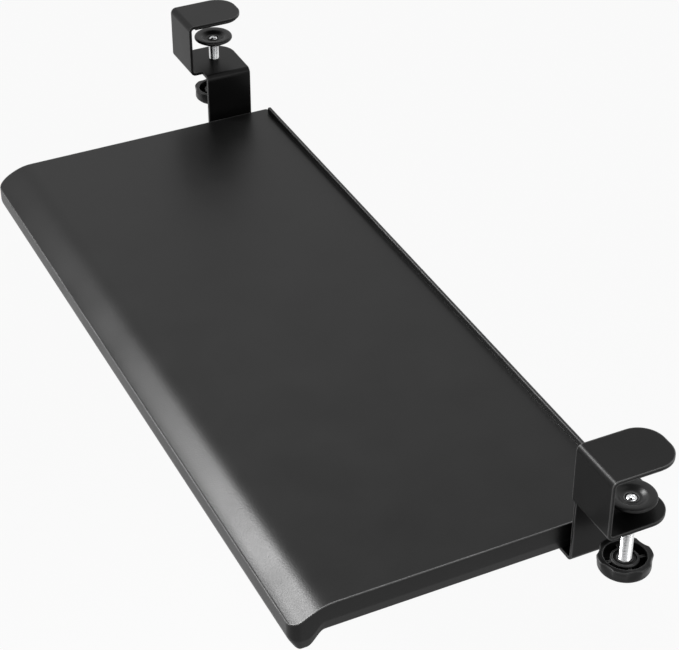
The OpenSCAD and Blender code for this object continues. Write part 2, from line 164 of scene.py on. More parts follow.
BEND_STEPS = 8
TIP_STEPS = 16
RIVET_HOLE_STEPS = 24
SHEET_EDGE = 0.2 * MM
JAW_PAD_EDGE = 0.6 * MM

# Rivets through runner and flange
RIVET_R = 2.5 * MM
RIVET_HEAD_H = 1.4 * MM
RIVET_TURNS = (0, 0.4, 0.8, 1.2)
RIVET_STEPS = 32

# Clamp screws and nuts
THREAD_PITCH = 1.5 * MM
THREAD_DEPTH = 0.85 * MM
THREAD_SLANT = 1.3
THREAD_CREST = 0.15
THREAD_ROWS = 8
THREAD_STEPS = 48
SCREW_TAPER = 1.0 * MM
WELD_NUT_AF = 17 * MM
KNOB_NUT_AF = 16 * MM
NUT_BORE_D = 10.1 * MM
NUT_EDGE = 0.5 * MM
HEX_SIDES = 6

# Swivel pads
PAD_STEPS = 96
PAD_ARC_STEPS = 8
PAD_RIM_W = 6 * MM
PAD_RIM_FALL = 0.3 * MM
PAD_RIM_TURN = (-70, 75)
PAD_RIM_SHARES = (0.3, 0.6, 1.0)
PAD_SOFT = 1.6 * MM
PAD_BELLY = 1.5
PAD_BELLY_SHARES = (0.25, 0.5, 0.75)
PAD_FLOOR = 3 * MM
PAD_DISH_LIFT = 1.3 * MM
PAD_DISH_EDGE = 2 * MM
PAD_HUB_R = 9 * MM
PAD_BORE_R = 2.55 * MM
PAD_RING_GAP = 0.8 * MM
PAD_RING_FOOT = 0.9 * MM
PAD_RING_SIDE = 0.7 * MM
PAD_RING_SIDE_H = 0.5 * MM
PAD_RING_H = 0.6 * MM
PAD_SEAT_DRAFT = 0.4 * MM

# Pad screws
PAD_SCREW_STEPS = 48
PAD_SCREW_R = 2.5 * MM
PAD_SCREW_TIP_W = 0.5 * MM
PAD_SCREW_TIP_H = 0.6 * MM
PAD_HEAD_H = 2.4 * MM
PAD_HEAD_EDGE = 0.2 * MM
PAD_HEAD_SIDE = 0.9 * MM
PAD_HEAD_TURNS = (0.3, 0.6, 0.9, 1.2)
RECESS_REACH = 0.62
RECESS_HALF_W = 0.6 * MM
RECESS_D = 1.3 * MM

# Knobs
KNOB_LOBES = 6
KNOB_STEPS = 240
KNOB_RIM = 5 * MM
KNOB_SCALLOP = 1.8 * MM
KNOB_SCALLOP_R = 20 * MM
KNOB_DRAFT = 0.9 * MM
KNOB_SOFT = 0.6 * MM
KNOB_SOFT_STEPS = 4
KNOB_FOOT_R = 2.6 * MM
KNOB_FOOT_STEPS = 5
KNOB_SIDE_ROWS = 5
KNOB_LIP = 0.4 * MM
KNOB_FLOOR_T = 2 * MM
KNOB_BORE_R = 5.05 * MM
KNOB_HUB_R = 11 * MM
HUB_SINK = 2 * MM
HUB_RING_W = 2 * MM
HUB_GROOVE_D = 1.4 * MM
HUB_GROOVE_SLANT = 0.4 * MM
HUB_COLLAR_W = 1.2 * MM
HUB_COLLAR_SINK = 0.4 * MM
KNOB_SEAT_AF = 16.6 * MM
KNOB_SEAT_H = 6 * MM
KNOB_SPOKES = 4
SPOKE_W = 2.5 * MM
SPOKE_SINK = 4 * MM
SPOKE_BITE = 1 * MM
KNOB_TURN = math.radians(77)

# Mesh building
CUT = 1 * MM
ON_AXIS = 1e-9
FLAT_ANGLE = math.radians(0.5)
BEVEL_ANGLE = math.radians(40)


def smooth(t):
    """Soft step from 0 to 1."""
    return t * t * (3 - 2 * t)


def mix(a, b, t):
    return a + (b - a) * t


def clamp(t):
    return min(max(t, 0), 1)


def blend(p, q, share):
    return tuple(mix(a, b, share) for a, b in zip(p, q))


def arc(cx, cy, radius, start, end, steps):
    """Points on a circle from one angle to another, in degrees, both ends included."""
    angles = [math.radians(mix(start, end, i / steps)) for i in range(steps + 1)]
    return [(cx + radius * math.cos(a), cy + radius * math.sin(a)) for a in angles]


def circle(cx, cy, radius, steps=48):
    return arc(cx, cy, radius, 0, 360, steps)[:-1]


def mirrored(points, side):
    """Points of the right side, turned over for the left one."""
    return [(side * x, y) for x, y in points]


def as_object(name, bm, recalc=True):
    """Puts a bmesh into a new object in the scene."""
    if recalc:
        bmesh.ops.recalc_face_normals(bm, faces=bm.faces)
    mesh = bpy.data.meshes.new(name)
    bm.to_mesh(mesh)
    bm.free()
    obj = bpy.data.objects.new(name, mesh)
    bpy.context.scene.collection.objects.link(obj)
    return obj


def piece(name, bm, body, slot, nodes=(), sharp=35, sheet=0, edge=0, edge_steps=3):
    """A finished piece of the object: smooth faces, softened edges, its material, body and nodes."""
    obj = as_object(name, bm)
    obj.data.materials.append(MATERIALS[slot])
    obj.data.shade_smooth()
    if sheet:
        thicken(obj, sheet)
    else:
        obj.data.set_sharp_from_angle(angle=math.radians(sharp))
    if edge:
        soften(obj, edge, edge_steps)
    weights = obj.modifiers.new("weighted_normals", "WEIGHTED_NORMAL")
    weights.keep_sharp = True
    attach(obj, body)
    if nodes:
        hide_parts(*nodes)
    return obj


def thicken(obj, thickness):
    """Gives a middle surface its thickness, half to each side."""
    thick = obj.modifiers.new("sheet", "SOLIDIFY")
    thick.thickness = thickness
    thick.offset = 0
    thick.use_even_offset = True


def soften(obj, width, steps):
    """Rounds the sharp edges."""
    bevel = obj.modifiers.new("edges", "BEVEL")
    bevel.width = width
    bevel.segments = steps
    bevel.limit_method = "ANGLE"
    bevel.angle_limit = BEVEL_ANGLE


def strip(bm, rows, closed=False):
    """Quads between neighbouring rows of vertices."""
    for low, high in zip(rows, rows[1:]):
        count = len(low)
        for i in range(count if closed else count - 1):
            j = (i + 1) % count
            bm.faces.new((low[i], low[j], high[j], high[i]))


def fill(bm, loops, z):
    """Flat face at one height inside the first loop of points and outside the others."""
    rings = []
    edges = []
    for loop in loops:
        ring = [bm.verts.new((x, y, z)) for x, y in loop]
        edges += [bm.edges.new(pair) for pair in zip(ring, ring[1:] + ring[:1])]
        rings.append(ring)
    bmesh.ops.triangle_fill(bm, use_beauty=True, edges=edges)
    return rings


def prism(bm, loops, z0, z1):
    """Upright solid between two heights, with the loops after the first as holes through it."""
    for low, high in zip(fill(bm, loops, z0), fill(bm, loops, z1)):
        strip(bm, [low, high], closed=True)
    bmesh.ops.dissolve_limit(bm, angle_limit=FLAT_ANGLE, verts=bm.verts, edges=bm.edges)


def lathe(bm, profile, centre, steps=72, closed=True):
    """Turns (r, z) points about the upright axis at centre; an open profile starts and ends on the axis."""
    rings = []
    for r, z in profile:
        angles = [2 * math.pi * i / steps for i in range(steps)] if r > ON_AXIS else [0]
        place = [(centre[0] + r * math.cos(a), centre[1] + r * math.sin(a), z) for a in angles]
        rings.append([bm.verts.new(p) for p in place])
    pairs = list(zip(rings, rings[1:]))
    if closed:
        pairs.append((rings[-1], rings[0]))
    for low, high in pairs:
        for i in range(steps):
            j = (i + 1) % steps
            corners = [low[i % len(low)], low[j % len(low)], high[j % len(high)], high[i % len(high)]]
            bm.faces.new(list(dict.fromkeys(corners)))


def rectangle(x0, y0, x1, y1, radius, steps):
    """Outline of a rectangle with round corners."""
    corners = [(x0 + radius, y0 + radius, 180), (x1 - radius, y0 + radius, 270)]
    corners += [(x1 - radius, y1 - radius, 0), (x0 + radius, y1 - radius, 90)]
    return [point for x, y, start in corners for point in arc(x, y, radius, start, start + 90, steps)]


def combined(base, tool, operation):
    """The base mesh joined with or cut by the tool mesh. Both are used up."""
    kept = as_object("base", base)
    other = as_object("tool", tool)
    step = kept.modifiers.new("combine", "BOOLEAN")
    step.operation = operation
    step.solver = "EXACT"
    step.object = other
    bpy.context.view_layer.update()
    made = bmesh.new()
    made.from_object(kept, bpy.context.evaluated_depsgraph_get())
    for obj in (kept, other):
        mesh = obj.data
        bpy.data.objects.remove(obj)
        bpy.data.meshes.remove(mesh)
    return made


# Materials
# Painted highlights: places near an outer edge get a paler tone, standing in for the light that rounded edges
# catch.
HIGHLIGHT_REACH = 1.3 * MM
HIGHLIGHT_RANGE = (0.9, 0.62)
HIGHLIGHT_LEAST = 0.6
SOFT_R = 0.15 * MM
EDGE_SAMPLES = 6
NOISE_RANGE = (0.3, 0.7)
SLOW_DETAIL = 5
FINE_DETAIL = 2
GRAIN_SHARE = 0.4


def link(tree, source, target):
    tree.links.new(source, target)


def spread(tree, source, low, high, to_low, to_high):
    """Maps a value from one range to another."""
    node = tree.nodes.new("ShaderNodeMapRange")
    limits = {"From Min": low, "From Max": high, "To Min": to_low, "To Max": to_high}
    for name, value in limits.items():
        node.inputs[name].default_value = value
    link(tree, source, node.inputs["Value"])
    return node.outputs["Result"]


def noise(tree, place, size, detail):
    node = tree.nodes.new("ShaderNodeTexNoise")
    node.inputs["Scale"].default_value = 1 / size
    node.inputs["Detail"].default_value = detail
    link(tree, place, node.inputs["Vector"])
    return node.outputs["Fac"]


def tinted(tree, share, low, high):
    """Colour between two tones by a share."""
    node = tree.nodes.new("ShaderNodeValToRGB")
    for stop, position, tone in zip(node.color_ramp.elements, NOISE_RANGE, (low, high)):
        stop.position = position
        stop.color = (*tone, 1)
    link(tree, share, node.inputs["Fac"])
    return node.outputs["Color"]


def edge_highlight_share(tree, patches):
    """Share of painted highlight at a place: how near it lies to an outer edge, broken up by the patches."""
    inside = tree.nodes.new("ShaderNodeAmbientOcclusion")
    inside.inside = True
    inside.only_local = True
    inside.samples = EDGE_SAMPLES
    inside.inputs["Distance"].default_value = HIGHLIGHT_REACH
    near = spread(tree, inside.outputs["AO"], *HIGHLIGHT_RANGE, 0, 1)
    edge_highlight = tree.nodes.new("ShaderNodeMath")
    edge_highlight.operation = "MULTIPLY"
    link(tree, near, edge_highlight.inputs[0])
    link(tree, spread(tree, patches, *NOISE_RANGE, HIGHLIGHT_LEAST, 1), edge_highlight.inputs[1])
    return edge_highlight.outputs["Value"]


def softened(tree):
    """Surface direction with every edge rounded off a little."""
    soft = tree.nodes.new("ShaderNodeBevel")
    soft.samples = EDGE_SAMPLES
    soft.inputs["Radius"].default_value = SOFT_R
    return soft.outputs["Normal"]


def coloured(tree, slow, tones, edge_highlight):
    """Colour between two tones by the slow noise, painted paler near the edges as a highlight."""
    colour = tree.nodes.new("ShaderNodeMix")
    colour.data_type = "RGBA"
    link(tree, edge_highlight_share(tree, slow), colour.inputs["Factor"])
    link(tree, tinted(tree, slow, *tones), colour.inputs["A"])
    colour.inputs["B"].default_value = (*grey(edge_highlight), 1)
    return colour.outputs["Result"]


def roughened(tree, slow, fine, rough):
    """Roughness between two values by both noises."""
    mixed = tree.nodes.new("ShaderNodeMix")
    mixed.inputs["Factor"].default_value = GRAIN_SHARE
    link(tree, slow, mixed.inputs["A"])
    link(tree, fine, mixed.inputs["B"])
    return spread(tree, mixed.outputs["Result"], *NOISE_RANGE, *rough)


def grained(tree, fine, relief):
    """Surface direction with a fine raised grain."""
    bump = tree.nodes.new("ShaderNodeBump")
    bump.inputs["Strength"].default_value = 1
    bump.inputs["Distance"].default_value = relief
    link(tree, fine, bump.inputs["Height"])
    link(tree, softened(tree), bump.inputs["Normal"])
    return bump.outputs["Normal"]


def finish(name, tones, rough, grain, relief, edge_highlight, patch,
           warm=0, metallic=0, specular=0.5, stretch=(1, 1, 1)):
    """Two tones and two roughnesses spread by a slow noise, painted highlights along the edges, and a fine
    raised grain.
    """
    material = bpy.data.materials.new(name)
    material.use_nodes = True
    tree = material.node_tree
    place = tree.nodes.new("ShaderNodeTexCoord")
    scaled = tree.nodes.new("ShaderNodeMapping")
    scaled.inputs["Scale"].default_value = stretch
    link(tree, place.outputs["Object"], scaled.inputs["Vector"])
    slow = noise(tree, scaled.outputs["Vector"], patch, SLOW_DETAIL)
    fine = noise(tree, scaled.outputs["Vector"], grain, FINE_DETAIL)
    shader = tree.nodes["Principled BSDF"].inputs
    shader["Metallic"].default_value = metallic
    shader["Specular IOR Level"].default_value = specular
    link(tree, coloured(tree, slow, [grey(tone, warm) for tone in tones], edge_highlight), shader["Base Color"])
    link(tree, roughened(tree, slow, fine, rough), shader["Roughness"])
    link(tree, grained(tree, fine, relief), shader["Normal"])
    return material


def grey(value, warm=0):
    """Grey tone, with a little red added and blue taken away when it is warm."""
    return (value + warm, value, value - warm)


# In each look, the tone given for the edges is a painted highlight along the outer edges.
LOOKS = {
    "tray_plastic": dict(
        tones=(0.007, 0.010), rough=(0.29, 0.38), grain=1.3 * MM, relief=0.07 * MM, edge_highlight=0.30, patch=60 * MM,
        specular=0.2),
    "coated_steel": dict(
        tones=(0.005, 0.008), rough=(0.30, 0.42), grain=1.0 * MM, relief=0.03 * MM, edge_highlight=0.18, patch=60 * MM,
        specular=0.14),
    "rail_steel": dict(
        tones=(0.50, 0.62), rough=(0.26, 0.42), grain=0.6 * MM, relief=0.004 * MM, edge_highlight=0.7, patch=12 * MM,
        warm=-0.01, metallic=1, stretch=(1, 0.04, 1)),
    "cage_steel": dict(
        tones=(0.42, 0.54), rough=(0.32, 0.46), grain=0.6 * MM, relief=0.004 * MM, edge_highlight=0.6, patch=12 * MM,
        warm=-0.01, metallic=1, stretch=(1, 0.06, 1)),
    "ball_steel": dict(
        tones=(0.66, 0.74), rough=(0.08, 0.14), grain=0.4 * MM, relief=0.001 * MM, edge_highlight=0.8, patch=3 * MM,
        metallic=1),
    "zinc_steel": dict(
        tones=(0.62, 0.74), rough=(0.16, 0.30), grain=0.5 * MM, relief=0.006 * MM, edge_highlight=0.8, patch=5 * MM,
        warm=-0.01, metallic=1, stretch=(1, 1, 3)),
    "stop_rubber": dict(
        tones=(0.014, 0.020), rough=(0.70, 0.85), grain=0.5 * MM, relief=0.03 * MM, edge_highlight=0.04, patch=8 * MM,
        specular=0.3),
    "pad_rubber": dict(
        tones=(0.010, 0.015), rough=(0.65, 0.80), grain=0.5 * MM, relief=0.04 * MM, edge_highlight=0.03, patch=10 * MM,
        specular=0.2),
    "pad_plastic": dict(
        tones=(0.010, 0.014), rough=(0.30, 0.42), grain=0.6 * MM, relief=0.03 * MM, edge_highlight=0.10, patch=10 * MM,
        specular=0.25),
    "knob_plastic": dict(
        tones=(0.008, 0.012), rough=(0.30, 0.42), grain=0.6 * MM, relief=0.02 * MM, edge_highlight=0.15, patch=10 * MM,
        specular=0.2),
}
MATERIALS = {name: finish(name, **look) for name, look in LOOKS.items()}


# Tray
def eased(t):
    """Area under a smooth step from 0 up to t."""
    return t ** 3 - t ** 4 / 2


def slope_fall(t):
    """Fall along the wrist slope: a soft start, and a foot that levels out in part."""
    soft_end = SLOPE_EASE * SLOPE_FOOT * eased(clamp((t - 1 + SLOPE_FOOT) / SLOPE_FOOT))
    return SLOPE_START * eased(clamp(t / SLOPE_START)) + max(t - SLOPE_START, 0) - soft_end


def slope_z(y):
    """Height of the tray's top, flat behind the wrist slope."""
    return -NOSE_DROP * slope_fall(clamp((Y_SLOPE - y) / SLOPE_RUN)) / slope_fall(1)


def foot_z(y):
    """Height of the tray's lower edge, which dips under the nose."""
    return mix(Z_NOSE, Z_SKIRT, smooth(clamp((y - NOSE_Y) / NOSE_RISE)))


def rim_top(lip):
    """Upper part of the rim from the deck outwards, as (inset, height) points, for a share of the lip."""
    plain = [(mix(RIM_W, EDGE_R, i / RIM_FLAT_ROWS), 0) for i in range(RIM_FLAT_ROWS)]
    plain += arc(EDGE_R, -EDGE_R, EDGE_R, 90, 180, EDGE_STEPS)
    raised = arc(RIM_W, LIP_FOOT_R, LIP_FOOT_R, 270, 180, LIP_EDGE_STEPS)
    raised += arc(LIP_T - LIP_EDGE_R, LIP_H - LIP_EDGE_R, LIP_EDGE_R, 0, 90, LIP_EDGE_STEPS)
    raised += arc(LIP_EDGE_R, LIP_H - LIP_EDGE_R, LIP_EDGE_R, 90, 180, LIP_EDGE_STEPS)
    return [blend(a, b, lip) for a, b in zip(plain, raised)]


def rim_foot(front, rear, wall):
    """Lower part of the rim, out and round to the inside, as (inset, height above the foot) points."""
    steps = [i / BAND_STEPS for i in range(BAND_STEPS + 1)]
    inner_steps = [i / INSIDE_STEPS for i in range(INSIDE_STEPS + 1)]
    nose = arc(NOSE_R, NOSE_R, NOSE_R, 180, 270, BAND_STEPS)
    nose += arc(NOSE_R, NOSE_R, NOSE_R - SKIRT_T, 270, 180, INSIDE_STEPS)
    end = [(BAND_REACH * t, mix(BAND_H, FOOT_R, t)) for t in steps[::2]]
    end += arc(BAND_REACH + FOOT_R, FOOT_R, FOOT_R, 180, 270, BAND_STEPS // 2)[1:]
    end += [(wall, NOSE_R * t) for t in inner_steps]
    skirt = [(0, mix(BAND_H, FOOT_R, t)) for t in steps[:-2]]
    skirt += arc(FOOT_R, FOOT_R, FOOT_R, *SKIRT_FOOT_TURN, 1)
    skirt += [(SKIRT_T, NOSE_R * t) for t in inner_steps]
    rows = zip(nose, end, skirt)
    return [blend(blend(e, n, front), s, rear) for n, e, s in rows]


def station(x, y, out, front=0, rear=0, lip=0, wall=END_T, reach=NOSE_R):
    """A place on the rim, with its outward direction, its mix of sections, its wall and its depth inwards."""
    return {"place": (x, y), "out": out, "shares": (front, rear), "lip": lip, "wall": wall, "reach": reach}


def front_corner(radius):
    """Stations round a front corner, at the same depths for either radius."""
    widest = max(FRONT_R.values())
    made = []
    for i in range(1, CORNER_STEPS + 1):
        depth = widest * (1 - math.cos(math.pi / 2 * i / CORNER_STEPS))
        angle = math.acos(1 - min(depth / radius, 1))
        turn = angle / (math.pi / 2)
        out = (math.sin(angle), -math.cos(angle))
        x = X_END - radius + radius * out[0]
        reach = max(radius, NOSE_R * (1 - 2 * turn))
        made.append(station(x, Y_FRONT + depth, out, front=1 - smooth(turn), wall=radius, reach=reach))
    return made


def rear_corner():
    """Stations round a rear corner."""
    made = []
    for i in range(1, CORNER_STEPS + 1):
        turn = i / CORNER_STEPS
        out = (math.cos(turn * math.pi / 2), math.sin(turn * math.pi / 2))
        place = (X_END - CORNER_R + CORNER_R * out[0], Y_REAR - CORNER_R + CORNER_R * out[1])
        made.append(station(*place, out, rear=smooth(turn)))
    return made


def rim_stations(radius):
    """Places round one half of the rim, from the middle of the front to the middle of the rear."""
    x_front = X_END - radius
    x_rear = X_END - CORNER_R
    stations = [station(share * x_front, Y_FRONT, (0, -1), front=1) for share in FRONT_SHARES]
    stations += front_corner(radius)
    y_corner = stations[-1]["place"][1]
    for i in range(1, SLOPE_STEPS + 1):
        y = mix(y_corner, Y_SLOPE, i / SLOPE_STEPS)
        stations.append(station(X_END, y, (1, 0), wall=radius if y < NOSE_Y else END_T))
    stations += [station(X_END, y, (1, 0)) for y in (0, Y_REAR - CORNER_R)]
    stations += rear_corner()
    for i in range(1, LIP_STEPS + 1):
        stations.append(station(x_rear - LIP_RAMP * i / LIP_STEPS, Y_REAR, (0, 1), rear=1, lip=i / LIP_STEPS))
    stations.append(station(0, Y_REAR, (0, 1), rear=1, lip=1))
    return stations


def rim_row(bm, side, at):
    """Vertices of the rim's section at one station, from the deck's top round to its underside."""
    x, y = at["place"]
    out = at["out"]

    def vertex(inset, z):
        return bm.verts.new((side * (x - out[0] * inset), y - out[1] * inset, z))

    def top_z(inset):
        return slope_z(y - out[1] * max(inset, EDGE_R))

    lower = [(min(inset, at["reach"]), height) for inset, height in rim_foot(*at["shares"], at["wall"])]
    row = [vertex(inset, top_z(inset) + height) for inset, height in rim_top(at["lip"])]
    row += [vertex(inset, foot_z(y) + height) for inset, height in lower]
    under = lower[-1][0]
    row.append(vertex(under, top_z(under) - DECK_T))
    return row


def deck(bm, right, left):
    """Faces from the right half of an outline to the left half, whose ends they share."""
    front = left[FRONT_ROWS - 1:0:-1] + right[:FRONT_ROWS]
    rear = right[-LIP_ROWS:] + left[-2:-LIP_ROWS - 1:-1]
    rows = [list(pair) for pair in zip(left[FRONT_ROWS:-LIP_ROWS], right[FRONT_ROWS:-LIP_ROWS])]
    bm.faces.new(front + rows[0][::-1])
    strip(bm, rows)
    bm.faces.new(rows[-1] + rear)


def tray_shell():
    """The moulded tray: a hollow deck with skirts, a rolled front edge, a rear lip and round corners."""
    bm = bmesh.new()
    right = [rim_row(bm, 1, at) for at in rim_stations(FRONT_R[1])]
    left = [right[0]] + [rim_row(bm, -1, at) for at in rim_stations(FRONT_R[-1])[1:-1]] + [right[-1]]
    strip(bm, right + left[-2::-1])
    deck(bm, [row[0] for row in right], [row[0] for row in left])
    deck(bm, [row[-1] for row in right], [row[-1] for row in left])
    return piece("tray_shell", bm, "sliding_tray", "tray_plastic", ["tray"], sharp=40)


def tray_bosses():
    """Screw bosses between the deck and the rails."""
    low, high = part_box("right_rail_screws")
    head_r = (high.x - low.x) / 2
    x_rail = (low.x + high.x) / 2
    profile = [(0, Z_RIB), (BOSS_R, Z_RIB), (BOSS_R, Z_RIB_TOP), (0, Z_RIB_TOP)]
    bm = bmesh.new()
    for side in SIDES.values():
        for y in (low.y + head_r, (low.y + high.y) / 2, high.y - head_r):
            lathe(bm, profile, (side * x_rail, y), steps=BOSS_STEPS, closed=False)
    return piece("tray_bosses", bm, "sliding_tray", "tray_plastic")


def tray_ribs():
    """Grid of ribs under the deck, drawn as one plate with a window for each cell between them."""
    half = RIB_T / 2
    across = math.floor((RAIL_LOW.x - RIB_T) / RIB_PITCH_X)
    back = math.floor((Y_REAR - SKIRT_T - Y_CREASE) / RIB_PITCH_Y)
    xs = [i * RIB_PITCH_X for i in range(-across, across + 1)]
    ys = [Y_CREASE + i * RIB_PITCH_Y for i in range(back + 1)]
    columns = list(zip([-X_INSIDE] + [x + half for x in xs], [x - half for x in xs] + [X_INSIDE]))
    rows = list(zip([y + RIB_T for y in ys], ys[1:] + [Y_REAR - SKIRT_T]))
    cells = [rectangle(x0, y0, x1, y1, CELL_R, CELL_STEPS) for x0, x1 in columns for y0, y1 in rows]
    x_edge = X_INSIDE + RIB_BITE
    y_edge = Y_REAR - SKIRT_T + RIB_BITE
    plate = rectangle(-x_edge, Y_CREASE, x_edge, y_edge, CELL_R, CELL_STEPS)
    bm = bmesh.new()
    prism(bm, [plate] + cells, Z_RIB, Z_RIB_TOP)
    return piece("tray_ribs", bm, "sliding_tray", "tray_plastic", edge=RIB_EDGE, edge_steps=RIB_EDGE_STEPS)


# Clamp brackets
def tip_loop(x0, x1, y0, y1, radius):
    """Outline of a tongue with its two far corners rounded."""
    right = arc(x1 - radius, y1 - radius, radius, 0, 90, TIP_STEPS)
    left = arc(x0 + radius, y1 - radius, radius, 90, 180, TIP_STEPS)
    return [(x0, y0), (x1, y0)] + right + left


def bracket_loops():
    """Outlines of the right tongue, of its jaw with a screw hole, and of its flange with rivet holes."""
    y_tip = Y_WEB + JAW_L
    tongue = tip_loop(X_WEB, X_WEB_OUT, Y_FLAT, Y_TONGUE, TIP_R)
    jaw = [(X_WEB, Y_FLAT), (X_WEB_OUT, Y_FLAT)]
    jaw += arc(X_WEB_OUT - TIP_R, y_tip - TIP_R, TIP_R, 0, 90, TIP_STEPS)
    jaw += [(X_BEND, Y_PLATE_END), (X_BEND, Y_PLATE), (X_WEB, Y_PLATE)]
    screw_hole = circle((X_WEB + X_WEB_OUT) / 2, Y_WEB + SCREW_SETBACK, SCREW_HOLE_D / 2)
    flange = [(X_FOLD, Y_PLATE), (X_FOLD, Y_PLATE_END), (X_FLANGE, Y_PLATE_END), (X_FLANGE, Y_PLATE)]
    low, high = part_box("right_runner_rivets")
    head_r = (high.x - low.x) / 2
    rivet_ys = (low.y + head_r, high.y - head_r)
    rivet_holes = [circle(low.x + head_r, y, RIVET_HOLE_D / 2, RIVET_HOLE_STEPS) for y in rivet_ys]
    return [tongue], [jaw, screw_hole], [flange, *rivet_holes]


def clamp_bracket(name, side):
    """One bent sheet, drawn as its middle surface and then given its thickness and soft edges."""
    bm = bmesh.new()
    half = SHEET_T / 2

    def flat(loops, z):
        return fill(bm, [mirrored(loop, side) for loop in loops], z)[0]

    def web_rows(places):
        return [[bm.verts.new((side * x, y, z)) for x in (X_WEB, X_WEB_OUT)] for y, z in places]

    def plate_rows(places):
        return [[bm.verts.new((side * x, y, z)) for y in (Y_PLATE, Y_PLATE_END)] for x, z in places]

    tongue, jaw, flange = bracket_loops()
    top = flat(tongue, Z_TONGUE_TOP - half)
    low = flat(jaw, JAW_RISE + half)
    under = flat(flange, Z_FLANGE + half)
    upper = web_rows(arc(Y_FLAT, Z_TONGUE_TOP - BEND_OUT, BEND_MID_R, 90, 180, BEND_STEPS)[1:])
    lower = web_rows(arc(Y_FLAT, JAW_RISE + BEND_OUT, BEND_MID_R, 180, 270, BEND_STEPS)[:-1])
    strip(bm, [top[:2]] + upper + lower + [low[:2]])
    hanger = plate_rows(arc(X_BEND, JAW_RISE + SHEET_T - BEND_OUT, BEND_MID_R, 90, 180, BEND_STEPS)[1:])
    fold = plate_rows(arc(X_FOLD, Z_FLANGE + BEND_OUT, BEND_MID_R, 0, -90, BEND_STEPS)[:-1])
    strip(bm, [[low[-2], low[-3]]] + hanger + fold + [under[:2]])
    bmesh.ops.dissolve_limit(bm, angle_limit=FLAT_ANGLE, verts=bm.verts, edges=bm.edges)
    return piece(name, bm, "brackets", "coated_steel", [name], sheet=SHEET_T, edge=SHEET_EDGE)


def jaw_pad(name, side):
    """Rubber pad under the tongue."""
    low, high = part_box(name)
    x0, x1 = sorted((abs(low.x), abs(high.x)))
    radius = TIP_R - (X_WEB_OUT - x1)
    bm = bmesh.new()
    prism(bm, [mirrored(tip_loop(x0, x1, low.y, high.y, radius), side)], low.z, high.z)
    return piece(name + "_rubber", bm, "brackets", "pad_rubber", [name], edge=JAW_PAD_EDGE)


def axis_of(node):
    """Place of a node's upright axis."""
    low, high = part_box(node)
    return ((low.x + high.x) / 2, (low.y + high.y) / 2)


def hexagon(cx, cy, across, turn):
    """Outline of a hexagon by its width across the flats."""
    start = math.degrees(turn)
    return arc(cx, cy, across / math.sqrt(3), start, start + 360, HEX_SIDES)[:-1]


def hex_nut(name, body, slot, across, turn=0):
    """Six-sided nut with a plain bore."""
    low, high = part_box(name)
    cx, cy = axis_of(name)
    bm = bmesh.new()
    prism(bm, [hexagon(cx, cy, across, turn), circle(cx, cy, NUT_BORE_D / 2)], low.z, high.z)
    return piece(name + "_hex", bm, body, slot, [name], edge=NUT_EDGE)


# Clamp screws and pads
def groove_depth(phase):
    """Depth of the thread's groove at a share of one pitch."""
    return THREAD_DEPTH * clamp(abs(2 * phase - 1) * THREAD_SLANT - THREAD_CREST)


def clamp_screw(name, body):
    """Screw with a real right-hand thread and tapered ends."""
    low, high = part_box(name)
    cx, cy = axis_of(name)
    radius = (high.x - low.x) / 2
    count = round((high.z - low.z) / THREAD_PITCH * THREAD_ROWS)
    bm = bmesh.new()
    rows = []
    for j in range(count + 1):
        z = mix(low.z, high.z, j / count)
        taper = max(SCREW_TAPER - min(z - low.z, high.z - z), 0)
        row = []
        for i in range(THREAD_STEPS):
            turn = i / THREAD_STEPS
            phase = ((z - low.z) / THREAD_PITCH - turn) % 1
            r = radius - max(groove_depth(phase), taper)
            a = 2 * math.pi * turn
            row.append(bm.verts.new((cx + r * math.cos(a), cy + r * math.sin(a), z)))
        rows.append(row)
    strip(bm, rows, closed=True)
    bm.faces.new(rows[0])
    bm.faces.new(rows[-1])
    return piece(name + "_thread", bm, body, "zinc_steel", [name], sharp=60)


def swivel_pad(name, body):
    """Dished pad with a wide soft rim that swivels on the head of the clamp screw."""
    low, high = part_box(name)
    radius = (high.x - low.x) / 2
    screw_low, screw_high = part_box(name.replace("swivel_pad", "pad_screw"))
    head_r = (screw_high.x - screw_low.x) / 2
    top = high.z
    foot = low.z
    seat = foot + PAD_FLOOR
    dish = seat + PAD_DISH_LIFT
    rim_r = radius - PAD_SOFT
    dish_r = radius - PAD_RIM_W
    ring_r = head_r + PAD_RING_GAP
    profile = [(PAD_BORE_R, foot), (PAD_HUB_R - PAD_SOFT / 2, foot), (PAD_HUB_R, foot + PAD_SOFT / 2)]
    for t in PAD_BELLY_SHARES:
        profile.append((mix(PAD_HUB_R, rim_r, t), mix(foot, top - 2 * PAD_SOFT, t ** PAD_BELLY)))
    profile += arc(rim_r, top - PAD_SOFT, PAD_SOFT, *PAD_RIM_TURN, PAD_ARC_STEPS)
    profile += [(mix(rim_r, dish_r, t), top - PAD_RIM_FALL * t * t) for t in PAD_RIM_SHARES]
    for i in range(1, PAD_ARC_STEPS + 1):
        t = i / PAD_ARC_STEPS
        profile.append((mix(dish_r, ring_r + PAD_DISH_EDGE, t), mix(top - PAD_RIM_FALL, dish, smooth(t))))
    profile += [(ring_r + PAD_RING_FOOT, dish), (ring_r + PAD_RING_SIDE, dish + PAD_RING_SIDE_H)]
    profile += [(ring_r, dish + PAD_RING_H), (ring_r - PAD_SEAT_DRAFT, seat), (PAD_BORE_R, seat)]
    bm = bmesh.new()
    lathe(bm, profile, axis_of(name), steps=PAD_STEPS)
    return piece(name + "_dish", bm, body, "pad_plastic", [name], sharp=50)


def cross_loop(centre, reach):
    """Outline of a cross-shaped recess."""
    quarter = [(reach, RECESS_HALF_W), (RECESS_HALF_W, RECESS_HALF_W), (RECESS_HALF_W, reach)]
    half = quarter + [(-x, y) for x, y in reversed(quarter)]
    whole = half + [(-x, -y) for x, y in half]
    return [(centre[0] + x, centre[1] + y) for x, y in whole]


